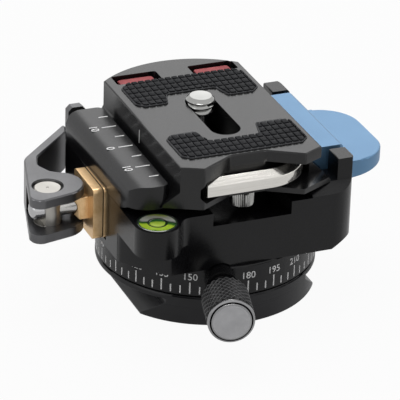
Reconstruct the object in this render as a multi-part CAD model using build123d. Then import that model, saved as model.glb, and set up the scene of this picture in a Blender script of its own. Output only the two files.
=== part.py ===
"""Panning clamp with a dovetail quick-release plate.

The frame is in millimetres. X runs across the channel, from the cam lever (-X) to the blue
release jaw (+X). Y runs along the channel, with the scale's front at -Y. Z is up, and the
origin is the centre of the base's bottom face.
"""
import math
import os

from build123d import *

os.makedirs("parts", exist_ok=True)

# Clearances
run_gap = 0.04          # between faces that slide on each other
fit_gap = 0.06          # between a shaft and the bore that it turns or slides in
wall_gap = 0.15         # between the clamp's wall and what hangs outside it
thread_gap = 0.02       # between a screw and its tapped hole
groove_gap = 0.1        # between the plate's dovetail and the jaws, measured across
edge_chamfer = 0.3      # broken edges of the machined pieces
past = 1.0              # how far a cutting shape runs past the face that it cuts
fuse = 0.5              # how far two shapes that become one reach into each other

# Base disc with a dovetail below
base_r = 23.9
base_h = 6.4
dovetail_lip_half = 20.0
dovetail_lip_h = 0.5
dovetail_neck_half = 16.1
dovetail_top = 5.3

# Threaded insert, 3/8 inch, clamped between the base disc and the hub
insert_thread_r = 3.97
insert_r = 6.0
insert_flange_r = 8.0
insert_flange_t = 1.0

# Hub that the clamp turns on
hub_r = 13.0
hub_flange_r = 16.0
hub_flange_t = 3.1
hub_hollow_r = 5.2
hub_hollow_h = 4.6
brake_groove_d = 1.0

# Countersunk screws
base_screw_r = 1.25
base_screw_head_r = 2.35
base_screw_len = 12.0
base_screw_circle = 10.2
base_screw_count = 4
base_screw_sink = 0.15
ring_screw_r = 1.25
ring_screw_head_r = 2.35
ring_screw_len = 10.0
ring_screw_circle = 18.8
ring_screw_count = 4
screw_key_r = 0.87
screw_key_d = 1.3
screw_angle = 45.0

# Scale ring and its slip rings
slip_t = 0.2
slip_width = 2.6
ring_r = 23.86
ring_h = 6.96

# Panning brake: knob, stud, boss and shoe on one spoke
brake_angle = -15.0     # turned from -Y, seen from above
brake_rise = 4.56       # above the ring's lower face
brake_travel = 0.525    # three quarters of a turn of an M4 thread
stud_r = 2.0
stud_collar_r = 2.5
shoe_len = 4.45
shoe_tip_r = 0.3
boss_r = 3.2
boss_start = 19.6
boss_out = 4.2          # how far the boss comes out of the body's front
grip_r = 5.0
grip_gap = 4.2          # from the boss to the grip
grip_len = 11.3
stud_in_grip = 6.0
cap_r = 4.3
cap_t = 1.0
cap_proud = 0.3

# Clamp body
body_beyond = 6.4       # from the plate's lip to the body's side
body_half_y = 22.8
body_h = 12.9
body_corner_r = 5.7
back_corner_r = 4.3     # the left corner behind, that the lever's arm passes
swing_r = 28.4          # turned shape of the left corner in front
collar_drop = 6.35      # from the body's floor to the turned collar at the front left corner
rim_cone_r = 30.0       # radius of the turned bevel at the body's bottom edge
cavity_gap = 0.3
cavity_roof_gap = 0.4
recess_left = -8.0
recess_right = 9.7
recess_depth = 2.9
recess_wall_y = 9.5
recess_corner_r = 1.6
ledge_rise = 1.9
ledge_under = 5.0       # from the plate's lip inwards
ledge_half_y = 20.1
ledge_end_rise = 0.2
post_rise = 4.9
post_t = 4.2
post_width = 5.0
post_edge_r = 0.9
pocket_gap = 0.3
pocket_side_gap = 0.8
pocket_depth = 7.5
jaw_slot_len = 8.2
jaw_slot_rise = 2.2
arch_gap = 0.2

# Round level in its boss
level_in_x = 5.0
level_in_y = 0.2
level_boss_r = 5.0
level_fillet = 3.0
cup_r = 4.45
cup_wall = 0.3
cup_h = 3.6
vial_proud = 0.05

# Quick-release plate
plate_x = 0.5
plate_h = 9.43
plate_lip_half = 19.0
plate_lip_h = 0.5
plate_undercut = 3.2    # depth of the dovetail below the lips
plate_front_y = -22.0
plate_ear_y = -24.2
plate_ear_x = 11.3
plate_notch_half = 3.9
plate_notch_y = -20.0
plate_notch_r = 1.5
plate_back_y = 29.0
plate_back_r = 24.3
plate_corner_r = 0.6

# Slot and camera screw
slot_half = 3.3
slot_front_y = -10.7
slot_back_y = 9.7
slot_step = 3.0
counter_half = 6.3
counter_depth = 3.5
screw_end_gap = 0.1
thread_r = 3.175
thread_len = 3.5
thread_proud = 1.57
thread_chamfer = 0.8
neck_r = 2.35
screw_head_r = 5.6
screw_head_t = 2.2
screw_head_up = 0.2
screw_socket_r = 2.3
screw_socket_d = 1.6
washer_r = 6.1
washer_t = 0.9

# Rubber pads on the plate
pad_recess = 0.6
pad_t = 1.15
pad_in_left = 1.9
pad_in_right = 1.2
pad_width = 11.8
pad_corner = 1.8
pad_corner_r = 0.5
front_pad_in = 3.0
back_pad_in = 9.7
front_notch_d = 5.7
back_notch_d = 4.5
notch_reach_left = 5.5
notch_reach_right = 5.6
pad_notch_slope = 1.4
pad_notch_r = 1.0

# Red pads in the two pockets behind the back pad
red_in_left = 2.0
red_in_right = 1.3
red_width_left = 10.4
red_width_right = 10.5
red_pocket_gap = 0.6
red_pocket_width = 4.4
red_pocket_depth = 2.9
red_pocket_corner = 0.6
red_side = 1.2
red_edge = 0.8
red_t = 2.3

# Stop screws under the plate
stop_head_r = 2.5
stop_head_t = 3.6
stop_shank_r = 1.25
stop_shank_len = 4.5
stop_front_y = -17.8
stop_back_y = 18.8

# Hex key kept in the plate
key_flats = 4.0
key_y = -21.7
key_rise = 3.6
key_left = -9.85
key_bend_x = 4.4
key_bend_r = 9.0
key_short_len = 1.7
key_gap = 0.3
key_end_gap = 1.65
key_floor_gap = 0.4
key_roof_gap = 1.3
key_slot_side_y = -17.5
key_mouth_taper = 1.4
magnet_r = 1.5
magnet_len = 1.8
magnet_x = -5.0

# Sliding jaw, pressure plate and draw bar
jaw_half_y = 20.0
jaw_top_r = 3.6
jaw_corner_r = 1.8
relief_r = 10.4         # hollow under the jaw that keeps the level in view
relief_top_r = 7.0
relief_rise = 1.5
jaw_lip_h = 2.4
jaw_lip_step = 1.0
foot_under = 4.0        # from the plate's lip inwards
lug_half_y = 4.4
lug_end_gap = 1.8
lug_gap = 0.2
bar_r = 2.0
bar_drop = 4.9          # from the body's floor to the bar's axis
bar_grip_len = 21.2
bar_nut_depth = 2.0
bar_clear = 0.2
brass_out = 2.65
brass_let_in = 1.4      # part of its thickness that sits in the jaw's side
brass_half_y = 5.9
brass_pocket_gap = 0.3
brass_down = 6.2
brass_up = 5.5
brass_corner = 0.9
brass_seam_x = 2.1
brass_seam = 0.25
nose_len = 2.7
nose_half_y = 2.6
nose_down = 2.6
nose_up = 2.5
nose_chamfer = 0.9

# Cam lever on its barrel
cam_gap = 0.2
cam_x = 2.5
cam_y = 0.35
cam_r = 5.4
lever_half_h = 5.2
flange_low_t = 2.2
flange_top_t = 2.1
arm_slope_start = 8.0
arm_slope_end = 30.0
arm_slope_rise = 2.2
web_r = 6.2
web_y = 5.0
barrel_r = 2.9
barrel_drop = 0.7
barrel_mouth_r = 3.4
barrel_mouth_d = 0.9
nut_r = 2.9
nut_seat = 1.25
nut_len = 2.8
nut_dome = 1.3
tab_x = 4.1             # thumb tab, along X and Y
tab_y = 2.0
tab_rise = 4.2
tab_root_rise = 2.0
tab_bevel = 0.9

# Outline of the lever about its pivot: front of the cam, heel, elbow, tip, waist and hip.
# The arm passes the body's back corner, so its far half goes with the body's length.
cam_touch_x = 0.202
cam_touch_y = -0.979
cam_leave_x = 0.39
cam_leave_y = 0.92
nose_x = -4.73
nose_y = -6.66
nose_r = 2.4
heel_x = -5.3
heel_y = -3.7
heel_r = 2.0
elbow_x = -0.5
elbow_y = body_half_y - 8.8
elbow_r = 6.0
tip_out_x = 14.0
tip_out_y = body_half_y + 5.3
tip_in_x = 12.4
tip_in_y = body_half_y + 0.6
tip_r = 0.5
bend_x = 2.6
bend_y = body_half_y - 8.9
waist_x = 1.4
waist_y = 10.0
waist_r = 2.0
hip_x = 2.9
hip_y = 6.5
hip_r = 1.5

# Springs
jaw_spring_r = 2.9
jaw_spring_wire = 0.3
jaw_spring_turns = 5
jaw_spring_bore = 3.5
jaw_spring_pocket = 7.2
release_spring_r = 1.9
release_spring_wire = 0.25
release_spring_turns = 5
release_spring_len = 3.0

# Release jaw and its pin
release_inset = 2.6
release_drop = 3.9      # from the ledge to the hinge
release_barrel_r = 3.0
release_side_gap = 1.4
release_pin_r = 1.25
release_pin_inset = 1.1
release_top_r = 1.0
release_heel = 0.4
release_crook_r = 0.6
release_web = 3.0
release_web_rise = 1.2
release_root_r = 1.0
release_tab_reach = 12.2
release_tab_step = 0.5
release_tab_corner = 8.7
release_tab_rise = 0.2
release_tab_t = 2.7
release_root_reach = 1.6
spring_notch_half = 2.4
spring_notch_r = 2.5

# Levels and places that follow from the sizes above
flange_seat_z = base_h + insert_flange_t
body_half_x = plate_lip_half + body_beyond
ring_z0 = base_h + slip_t + run_gap
ring_z1 = ring_z0 + ring_h
brake_z = ring_z0 + brake_rise
boss_end = body_half_y + boss_out
grip_start = boss_end + grip_gap
grip_end = grip_start + grip_len
hub_flange_z0 = ring_z1 + slip_t + 2 * run_gap
hub_top = hub_flange_z0 + hub_flange_t
ring_bore_r = hub_r + fit_gap
floor_z = ring_z1 + body_h
collar_z = floor_z - collar_drop
level_x = level_in_x - body_half_x
level_y = level_in_y - body_half_y
ledge_z = floor_z + ledge_rise
ledge_inner_x = plate_x + plate_lip_half - ledge_under
post_inner_x = body_half_x - post_t
jaw_z1 = ledge_z + post_rise
jaw_foot_x = plate_x - plate_lip_half + foot_under
jaw_slot_inner_x = jaw_slot_len - body_half_x
jaw_slot_bottom = ring_z1 + jaw_slot_rise
lug_inner_x = jaw_slot_inner_x - lug_end_gap
release_x = body_half_x - release_inset
release_z = ledge_z - release_drop
release_tab_top = ledge_z + release_tab_rise
release_tab_x = body_half_x + release_tab_reach
release_root_x = body_half_x + release_root_reach
release_half_y = ledge_half_y - post_width - release_side_gap
release_tab_half_y = release_half_y - release_tab_step
release_pin_half = ledge_half_y - release_pin_inset
pocket_x = release_x - release_barrel_r - pocket_gap
pocket_half_y = release_half_y + pocket_side_gap
plate_z0 = ledge_z + groove_gap
plate_z1 = plate_z0 + plate_h
plate_neck_half = plate_lip_half - plate_undercut
plate_left = plate_x - plate_neck_half
plate_right = plate_x + plate_neck_half
neck_z = plate_z0 + plate_lip_h + plate_undercut
shoe_tip = hub_r - brake_groove_d + brake_travel + run_gap
shoe_end = shoe_tip + shoe_len
wall_x = -body_half_x - wall_gap
bar_z = floor_z - bar_drop
bar_end_x = jaw_slot_inner_x + bar_grip_len
brass_x = wall_x - brass_out
brass_seat_x = wall_x + brass_let_in
brass_z0 = bar_z - brass_down
brass_z1 = bar_z + brass_up
nose_z0 = bar_z - nose_down
nose_z1 = bar_z + nose_up
pivot_x = brass_x - cam_gap - cam_x - cam_r
lever_z0 = bar_z - lever_half_h
lever_z1 = bar_z + lever_half_h
tab_top = lever_z1 + tab_rise
barrel_z1 = lever_z1 - barrel_drop
barrel_z0 = lever_z0 + barrel_drop
nut_x = pivot_x - nut_seat
washer_z1 = plate_z0 + counter_depth - run_gap
head_z0 = plate_z0 + screw_head_up
head_z1 = head_z0 + screw_head_t
thread_top = plate_z1 + thread_proud
screw_y = slot_back_y - slot_half - screw_end_gap
pad_z0 = plate_z1 - pad_recess
pad_left = plate_left + pad_in_left
pad_right = plate_right - pad_in_right
pad_notch_left = plate_x - notch_reach_left
pad_notch_right = plate_x + notch_reach_right
front_pad_y0 = plate_front_y + front_pad_in
front_pad_y1 = front_pad_y0 + pad_width
front_notch_y = front_pad_y1 - front_notch_d
back_pad_y1 = plate_back_y - back_pad_in
back_pad_y0 = back_pad_y1 - pad_width
back_notch_y = back_pad_y0 + back_notch_d
red_z0 = plate_z1 - red_pocket_depth
red_pocket_left = (plate_left + red_in_left, plate_left + red_in_left + red_width_left)
red_pocket_right = (plate_right - red_in_right - red_width_right, plate_right - red_in_right)
red_pocket_y0 = back_pad_y1 + red_pocket_gap
red_pocket_y1 = red_pocket_y0 + red_pocket_width
key_z = plate_z0 + key_rise
key_slot_left = key_left - key_end_gap
key_slot_floor = key_z - key_flats / 2 - key_floor_gap
key_slot_roof = key_z + key_flats / 2 + key_roof_gap


def disc(r, z0, z1, x=0.0, y=0.0):
    """Upright cylinder between two heights."""
    return Pos(x, y, (z0 + z1) / 2) * Cylinder(r, z1 - z0)


def block(x0, x1, y0, y1, z0, z1):
    """Box between two corners."""
    return Pos((x0 + x1) / 2, (y0 + y1) / 2, (z0 + z1) / 2) * Box(x1 - x0, y1 - y0, z1 - z0)


def rod_x(r, x0, x1, y, z):
    """Cylinder along X."""
    return Pos((x0 + x1) / 2, y, z) * Rot(0, 90, 0) * Cylinder(r, x1 - x0)


def rod_y(r, y0, y1, x, z):
    """Cylinder along Y."""
    return Pos(x, (y0 + y1) / 2, z) * Rot(90, 0, 0) * Cylinder(r, y1 - y0)


def spoke(r, start, end):
    """Cylinder on the brake's axis, between two distances from the centre."""
    return Rot(0, 0, brake_angle) * rod_y(r, -end, -start, 0, brake_z)


def spoke_cone(r0, r1, start, end):
    """Cone on the brake's axis, from radius r0 at start to radius r1 at end."""
    cone = Rot(90, 0, 0) * Cone(r0, r1, end - start)
    return Rot(0, 0, brake_angle) * Pos(0, -(start + end) / 2, brake_z) * cone


def outline(corners):
    """Face of a closed outline. Each corner is (x, y) or (x, y, corner radius)."""
    edges = []
    count = len(corners)
    ends = []
    for i, corner in enumerate(corners):
        here = Vector(corner[0], corner[1])
        before = Vector(*corners[i - 1][:2]) - here
        after = Vector(*corners[(i + 1) % count][:2]) - here
        radius = corner[2] if len(corner) > 2 else 0.0
        if not radius:
            ends.append((here, here))
            continue
        half = math.radians(before.get_angle(after)) / 2
        cut = radius / math.tan(half)
        into = here + before.normalized() * cut
        out = here + after.normalized() * cut
        middle = (before.normalized() + after.normalized()).normalized()
        crown = here + middle * (radius / math.sin(half) - radius)
        edges.append(ThreePointArc(into, crown, out))
        ends.append((into, out))
    for i in range(count):
        start = ends[i][1]
        end = ends[(i + 1) % count][0]
        edges.append(Line(start, end))
    return make_face(edges)


def prism_xy(corners, z0, z1):
    """Outline in X and Y, carried up from z0 to z1."""
    return extrude(Plane.XY.offset(z0) * outline(corners), z1 - z0)


def prism_xz(corners, y0, y1):
    """Outline in X and Z, carried along Y from y0 to y1."""
    return extrude(Plane.XZ.offset(-y1) * outline(corners), y1 - y0)


def prism_yz(corners, x0, x1):
    """Outline in Y and Z, carried along X from x0 to x1."""
    return extrude(Plane.YZ.offset(x0) * outline(corners), x1 - x0)


def edges_at_z(shape, z):
    """Edges that lie flat at one height."""
    near = 0.001
    return [
        e for e in shape.edges()
        if abs(e.bounding_box().min.Z - z) < near and abs(e.bounding_box().max.Z - z) < near
    ]


def broken(shape, z, size=edge_chamfer):
    """The shape with the edges at one height chamfered."""
    return chamfer(edges_at_z(shape, z), size)


def countersunk(r, head_r, length, x, y, z0):
    """Screw that points up, with its countersunk head flush at z0."""
    head_h = head_r - r
    head = Pos(x, y, z0 + head_h / 2) * Cone(head_r, r, head_h)
    return head + disc(r, z0 + head_h / 2, z0 + length, x, y)


def flat_head(r, head_r, length, x, y, z0):
    """Countersunk screw with a hexagon socket in its head."""
    socket = extrude(Pos(x, y, z0 - past) * RegularPolygon(screw_key_r, 6), screw_key_d + past)
    return countersunk(r, head_r, length, x, y, z0) - socket


def on_circle(count, circle, start=screw_angle):
    """Places spread evenly on a circle."""
    for i in range(count):
        angle = math.radians(start + 360.0 * i / count)
        yield circle * math.cos(angle), circle * math.sin(angle)


def slot_half_at(z):
    """Half width of the plate's dovetail flank at a height above its lip."""
    return plate_lip_half + plate_z0 + plate_lip_h - z


def base_screws():
    return [
        flat_head(base_screw_r, base_screw_head_r, base_screw_len, x, y, base_screw_sink)
        for x, y in on_circle(base_screw_count, base_screw_circle)
    ]


def ring_screws():
    return [
        flat_head(ring_screw_r, ring_screw_head_r, ring_screw_len, x, y, ring_z0 + run_gap)
        for x, y in on_circle(ring_screw_count, ring_screw_circle)
    ]


def screw_holes(r, head_r, length, count, circle, z0, mouth):
    """Tapped and countersunk holes for a circle of screws, open down to the mouth's height."""
    holes = None
    for x, y in on_circle(count, circle):
        hole = countersunk(r + thread_gap, head_r + thread_gap, length + thread_gap, x, y, z0)
        hole += disc(head_r + thread_gap, mouth, z0, x, y)
        holes = hole if holes is None else holes + hole
    return holes


def base_screw_holes():
    return screw_holes(base_screw_r, base_screw_head_r, base_screw_len, base_screw_count,
                       base_screw_circle, base_screw_sink, -past)


def ring_screw_holes():
    return screw_holes(ring_screw_r, ring_screw_head_r, ring_screw_len, ring_screw_count,
                       ring_screw_circle, ring_z0 + run_gap, ring_z0 - past)


def make_base_disc():
    shoulder = dovetail_lip_h + dovetail_lip_half - dovetail_neck_half
    half = [
        (dovetail_lip_half, 0),
        (dovetail_lip_half, dovetail_lip_h),
        (dovetail_neck_half, shoulder),
        (dovetail_neck_half, dovetail_top + fuse),
    ]
    mirrored = [(-x, z) for x, z in reversed(half)]
    foot = prism_xz(half + mirrored, -base_r, base_r) & disc(base_r, 0, dovetail_top + fuse)
    rim = broken(disc(base_r, dovetail_top, base_h), base_h)
    body = rim + foot
    body -= disc(insert_r + thread_gap, -past, base_h + past)
    return body - base_screw_holes()


def make_thread_insert():
    body = disc(insert_r, 0, base_h) + disc(insert_flange_r, base_h, flange_seat_z)
    return body - disc(insert_thread_r, -past, flange_seat_z + past)


def make_pan_hub():
    body = disc(hub_r, base_h, hub_flange_z0) + disc(hub_flange_r, hub_flange_z0, hub_top)
    body = broken(body, hub_top)
    deep = hub_r - brake_groove_d
    beyond = hub_r + past
    floor_half = shoe_tip_r
    mouth_half = floor_half + beyond - deep
    groove = Plane.XZ * outline(
        [
            (deep, brake_z - floor_half),
            (beyond, brake_z - mouth_half),
            (beyond, brake_z + mouth_half),
            (deep, brake_z + floor_half),
        ]
    )
    body -= revolve(groove, Axis.Z)
    body -= disc(insert_flange_r + fit_gap, base_h - past, flange_seat_z + run_gap)
    body -= disc(hub_hollow_r, base_h, flange_seat_z + hub_hollow_h)
    return body - base_screw_holes()


def make_slip_ring(z0):
    inner = hub_r + fit_gap
    return disc(inner + slip_width, z0, z0 + slip_t) - disc(inner, z0 - past, z0 + slip_t + past)


def make_scale_ring():
    ring = disc(ring_r, ring_z0, ring_z1)
    ring = broken(broken(ring, ring_z1), ring_z0)
    ring -= disc(ring_bore_r, ring_z0 - past, ring_z1 + past)
    ring -= spoke(stud_r + fit_gap, hub_r - past, ring_r)
    ring -= spoke(boss_r + thread_gap, boss_start - thread_gap, boss_end)
    return ring - ring_screw_holes()


def make_knob_boss():
    boss = spoke(boss_r, boss_start, boss_end)
    return boss - spoke(stud_r + fit_gap, boss_start - past, boss_end + past)


def make_brake_shoe():
    taper = stud_r - shoe_tip_r
    tip = spoke_cone(shoe_tip_r, stud_r, shoe_tip, shoe_tip + taper)
    return tip + spoke(stud_r, shoe_tip + taper, shoe_end)


def make_knob_stud():
    collar = spoke(stud_collar_r, boss_end + brake_travel + wall_gap, grip_start)
    return spoke(stud_r, shoe_end + run_gap, grip_start + stud_in_grip) + collar


def make_knob_grip():
    grip = spoke(grip_r, grip_start, grip_end)
    rims = [e for e in grip.edges() if e.geom_type == GeomType.CIRCLE]
    grip = chamfer(rims, edge_chamfer * 2)
    grip -= spoke(stud_r, grip_start - past, grip_start + stud_in_grip)
    return grip - spoke(cap_r, grip_end + cap_proud - cap_t, grip_end + past)


def make_knob_cap():
    return spoke(cap_r, grip_end + cap_proud - cap_t, grip_end + cap_proud)


def body_plan(z0, z1):
    """Full plan of the body between two heights, with its rounded corners."""
    return prism_xy(
        [
            (-body_half_x, -body_half_y),
            (body_half_x, -body_half_y, body_corner_r),
            (body_half_x, body_half_y, body_corner_r),
            (-body_half_x, body_half_y, back_corner_r),
        ],
        z0,
        z1,
    )


def turned_corner(z0, z1):
    """What the turned shape of the left corner in front takes away."""
    far = 2 * body_half_y
    return block(-2 * body_half_x, -past, -far, -past, z0, z1) - disc(swing_r, z0 - past, z1 + past)


def level_boss():
    """Boss of the round level, with the hollow rounding that leads into the front face."""
    boss = disc(level_boss_r, collar_z, floor_z, level_x, level_y)
    fillet_y = -body_half_y - level_fillet
    reach = level_boss_r + level_fillet
    fillet_x = level_x + math.sqrt(reach ** 2 - (level_y - fillet_y) ** 2)
    web = prism_xy([(level_x, level_y), (fillet_x, -body_half_y), (fillet_x, fillet_y)], collar_z, floor_z)
    return boss + (web - disc(level_fillet, collar_z - past, floor_z + past, fillet_x, fillet_y))


def stop_recess(sign):
    depth = body_half_y - recess_wall_y
    width = recess_right - recess_left
    place = Pos((recess_left + recess_right) / 2, sign * body_half_y, floor_z - recess_depth)
    return extrude(place * RectangleRounded(width, 2 * depth, recess_corner_r), recess_depth + past)


def make_clamp_body():
    body = body_plan(ring_z1, floor_z)
    body -= turned_corner(ring_z1 - past, collar_z)
    body += level_boss()
    end_z = floor_z + ledge_end_rise
    ledge = prism_yz(
        [
            (-body_half_y, floor_z - fuse),
            (body_half_y, floor_z - fuse),
            (body_half_y, end_z),
            (ledge_half_y, ledge_z),
            (-ledge_half_y, ledge_z),
            (-body_half_y, end_z),
        ],
        ledge_inner_x,
        body_half_x,
    )
    posts = prism_xz(
        [
            (post_inner_x, ledge_z - fuse),
            (body_half_x, ledge_z - fuse),
            (body_half_x, jaw_z1, post_edge_r),
            (post_inner_x, jaw_z1, edge_chamfer),
        ],
        -ledge_half_y,
        ledge_half_y,
    )
    gap_half = ledge_half_y - post_width
    posts -= block(post_inner_x - past, body_half_x + past, -gap_half, gap_half, floor_z, jaw_z1 + past)
    body += (ledge + posts) & body_plan(floor_z - fuse, jaw_z1)
    rise = jaw_z1 + past - ring_z1
    body &= Pos(0, 0, ring_z1 + rise / 2) * Cone(rim_cone_r, rim_cone_r + rise, rise)
    pocket_z = ledge_z - pocket_depth
    body -= block(pocket_x, body_half_x + past, -pocket_half_y, pocket_half_y, pocket_z, jaw_z1)
    body -= stop_recess(1)
    body -= stop_recess(-1)
    slot_y = lug_half_y + lug_gap
    body -= block(-body_half_x - past, jaw_slot_inner_x, -slot_y, slot_y, jaw_slot_bottom, floor_z + past)
    brass_y = brass_half_y + brass_pocket_gap
    pocket_floor = brass_seat_x + wall_gap
    pocket_low = brass_z0 - brass_pocket_gap
    body -= block(-body_half_x - past, pocket_floor, -brass_y, brass_y, pocket_low, floor_z + past)
    body -= rod_x(jaw_spring_bore, jaw_slot_inner_x - past, jaw_slot_inner_x + jaw_spring_pocket, 0, bar_z)
    body -= rod_x(bar_r + thread_gap, jaw_slot_inner_x, bar_end_x + thread_gap, 0, bar_z)
    body -= disc(hub_flange_r + cavity_gap, ring_z1 - past, hub_top + cavity_roof_gap)
    body -= spoke(boss_r + arch_gap, boss_start - arch_gap, 2 * body_half_y)
    body -= disc(cup_r, floor_z - cup_h, floor_z + past, level_x, level_y)
    body -= rod_y(release_pin_r, -release_pin_half, 2 * body_half_y, release_x, release_z)
    return body - ring_screw_holes()


def make_level_cup():
    cup = disc(cup_r, floor_z - cup_h, floor_z, level_x, level_y)
    return cup - disc(cup_r - cup_wall, floor_z - cup_h + cup_wall, floor_z + past, level_x, level_y)


def make_level_vial():
    vial = disc(cup_r - cup_wall, floor_z - cup_h + cup_wall, floor_z + vial_proud, level_x, level_y)
    return broken(vial, floor_z + vial_proud, vial_proud)


def plate_plan(z0, z1):
    """Plan of the plate between two heights: two front ears, straight sides, curved back."""
    slope = (plate_front_y - plate_ear_y) / (plate_neck_half - plate_ear_x)
    side_y = plate_front_y + slope * (plate_lip_half - plate_neck_half)
    right = [
        (plate_notch_half, plate_notch_y, plate_notch_r),
        (plate_ear_x, plate_ear_y, plate_corner_r),
        (plate_lip_half, side_y),
        (plate_lip_half, plate_back_y),
    ]
    left = [(-corner[0],) + corner[1:] for corner in reversed(right)]
    corners = [(plate_x + corner[0],) + corner[1:] for corner in right + left]
    centre_y = plate_back_y - plate_back_r
    back = disc(plate_back_r, z0, z1, plate_x, centre_y)
    front = block(-body_half_x, body_half_x, plate_ear_y - past, centre_y, z0, z1)
    return prism_xy(corners, z0, z1) & (back + front)


def long_slot(half, y0, y1, z0, z1):
    """Slot along Y with round ends."""
    middle = block(plate_x - half, plate_x + half, y0 + half, y1 - half, z0, z1)
    return middle + disc(half, z0, z1, plate_x, y0 + half) + disc(half, z0, z1, plate_x, y1 - half)


def key_slot():
    """Room for the key: open in front and at the right, closed over the short arm."""
    across = key_flats / 2 + key_gap
    inner_r = key_bend_r - across
    centre_y = key_y + key_bend_r
    front = plate_ear_y - past
    side = plate_x + plate_lip_half + past
    arm_x = key_bend_x + key_bend_r
    arm_end = centre_y + key_short_len + key_gap
    room = prism_xy(
        [
            (key_slot_left, front),
            (side, front),
            (side, key_slot_side_y),
            (arm_x + across, key_slot_side_y),
            (arm_x + across, arm_end),
            (arm_x - across, arm_end),
            (arm_x - across, key_y + across, inner_r),
            (key_slot_left, key_y + across),
        ],
        key_slot_floor,
        key_slot_roof,
    )
    mouth_top = 2 * key_z - key_slot_floor
    mouth = prism_xz(
        [
            (key_slot_left, key_slot_floor + key_mouth_taper),
            (key_slot_left + key_mouth_taper, key_slot_floor),
            (side, key_slot_floor),
            (side, key_slot_roof),
            (key_bend_x, key_slot_roof),
            (key_bend_x, mouth_top),
            (key_slot_left + key_mouth_taper, mouth_top),
            (key_slot_left, mouth_top - key_mouth_taper),
        ],
        front,
        arm_end,
    )
    return room & mouth


def pad_corners(y0, y1, notch_y, notch_from_y1):
    """Plan of a pad with cut corners and a notch for the camera screw's slot."""
    cut = pad_corner
    ridge = pad_notch_slope
    outer_y, inner_y = (y0, y1) if notch_from_y1 else (y1, y0)
    outer = cut if notch_from_y1 else -cut
    plain = [
        (pad_left, outer_y + outer, pad_corner_r),
        (pad_left + cut, outer_y, pad_corner_r),
        (pad_right - cut, outer_y, pad_corner_r),
        (pad_right, outer_y + outer, pad_corner_r),
    ]
    notched = [
        (pad_right, inner_y - outer, pad_corner_r),
        (pad_right - cut, inner_y, pad_corner_r),
        (pad_notch_right + ridge, inner_y, pad_corner_r),
        (pad_notch_right, notch_y, pad_notch_r),
        (pad_notch_left, notch_y, pad_notch_r),
        (pad_notch_left - ridge, inner_y, pad_corner_r),
        (pad_left + cut, inner_y, pad_corner_r),
        (pad_left, inner_y - outer, pad_corner_r),
    ]
    return plain + notched


def make_front_pad(z0=pad_z0, z1=pad_z0 + pad_t):
    return prism_xy(pad_corners(front_pad_y0, front_pad_y1, front_notch_y, True), z0, z1)


def make_back_pad(z0=pad_z0, z1=pad_z0 + pad_t):
    return prism_xy(pad_corners(back_pad_y0, back_pad_y1, back_notch_y, False), z0, z1)


def red_pocket(span, inset_x, inset_y, z0, z1):
    """Rounded pocket behind the back pad, or the pad in it when it is inset."""
    width = span[1] - span[0] - 2 * inset_x
    depth = red_pocket_y1 - red_pocket_y0 - 2 * inset_y
    place = Pos((span[0] + span[1]) / 2, (red_pocket_y0 + red_pocket_y1) / 2, z0)
    return extrude(place * RectangleRounded(width, depth, red_pocket_corner), z1 - z0)


def make_red_pad(span):
    return red_pocket(span, red_side, red_edge, red_z0, red_z0 + red_t)


def make_quick_plate():
    half = [
        (plate_lip_half, plate_z0),
        (plate_lip_half, plate_z0 + plate_lip_h),
        (plate_neck_half, neck_z),
        (plate_neck_half, plate_z1, edge_chamfer),
    ]
    left = [(-corner[0],) + corner[1:] for corner in reversed(half)]
    section = [(plate_x + corner[0],) + corner[1:] for corner in half + left]
    plan = broken(plate_plan(plate_z0, plate_z1), plate_z1)
    plate = prism_xz(section, plate_ear_y - past, plate_back_y + past) & plan
    plate -= long_slot(slot_half, slot_front_y, slot_back_y, plate_z0 - past, plate_z1 + past)
    counter_z1 = plate_z0 + counter_depth
    counter_y0 = slot_front_y - slot_step
    counter_y1 = slot_back_y + slot_step
    plate -= long_slot(counter_half, counter_y0, counter_y1, plate_z0 - past, counter_z1)
    plate -= key_slot()
    plate -= make_front_pad(pad_z0, plate_z1 + past)
    plate -= make_back_pad(pad_z0, plate_z1 + past)
    for span in (red_pocket_left, red_pocket_right):
        plate -= red_pocket(span, 0, 0, red_z0, plate_z1 + past)
    for y in (stop_front_y, stop_back_y):
        hole_top = plate_z0 + stop_shank_len + thread_gap
        plate -= disc(stop_shank_r + thread_gap, plate_z0 - past, hole_top, plate_x, y)
    return plate - make_key_magnet()


def make_key_magnet():
    y0 = key_y + key_flats / 2 + key_gap
    return rod_y(magnet_r, y0, y0 + magnet_len, magnet_x, key_z)


def make_stop_screw(y):
    head = broken(disc(stop_head_r, plate_z0 - stop_head_t, plate_z0, plate_x, y), plate_z0 - stop_head_t)
    return head + disc(stop_shank_r, plate_z0, plate_z0 + stop_shank_len, plate_x, y)


def make_screw_washer():
    washer = disc(washer_r, washer_z1 - washer_t, washer_z1, plate_x, screw_y)
    return washer - disc(neck_r + fit_gap, washer_z1 - washer_t - past, washer_z1 + past, plate_x, screw_y)


def make_camera_screw():
    thread = disc(thread_r, thread_top - thread_len, thread_top, plate_x, screw_y)
    thread = broken(thread, thread_top, thread_chamfer)
    neck = disc(neck_r, head_z1, thread_top - thread_len, plate_x, screw_y)
    head = broken(disc(screw_head_r, head_z0, head_z1, plate_x, screw_y), head_z0)
    socket_place = Pos(plate_x, screw_y, head_z0 - past)
    socket = extrude(socket_place * RegularPolygon(screw_socket_r, 6), screw_socket_d + past)
    return thread + neck + head - socket


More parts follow.
